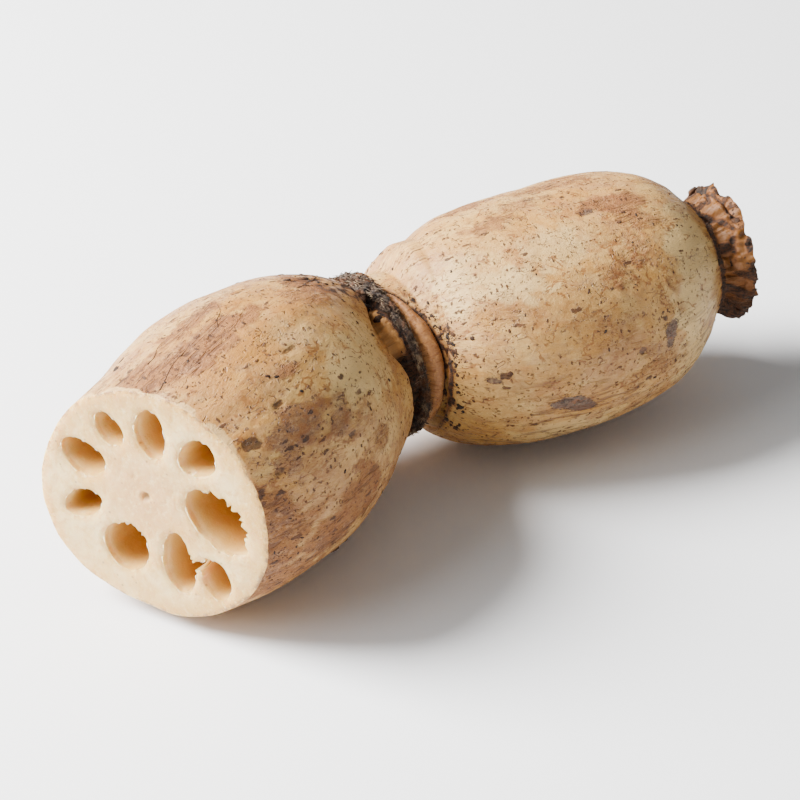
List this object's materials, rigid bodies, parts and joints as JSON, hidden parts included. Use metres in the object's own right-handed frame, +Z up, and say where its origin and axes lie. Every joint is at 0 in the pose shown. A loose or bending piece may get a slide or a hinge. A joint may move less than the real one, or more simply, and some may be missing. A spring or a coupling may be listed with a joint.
{
  "type": "lotus root",
  "caption": "Lotus root with a swollen whole segment, a ringed node and a swollen segment cut across, whose air channels are open.",
  "frame": {"origin": "middle of the bounding box's footprint, at the level of the surface that the root lies on", "axes": "+X along the root from the cut end to the dried stub, +Z up from the surface that it lies on"},
  "size_m": [0.2114, 0.0834, 0.0723],
  "materials": {
    "skin": "matt, slightly waxy tan skin with brown specks",
    "flesh": "moist cream flesh of the cut face and the channel walls",
    "husk": "dry dark brown fibres of the node scales and of the dried stub",
    "soil": "dry dark crumbs of pond soil stuck to the skin"
  },
  "bodies": {
    "root": {"lotus_root": "skin"}
  },
  "joints": []
}
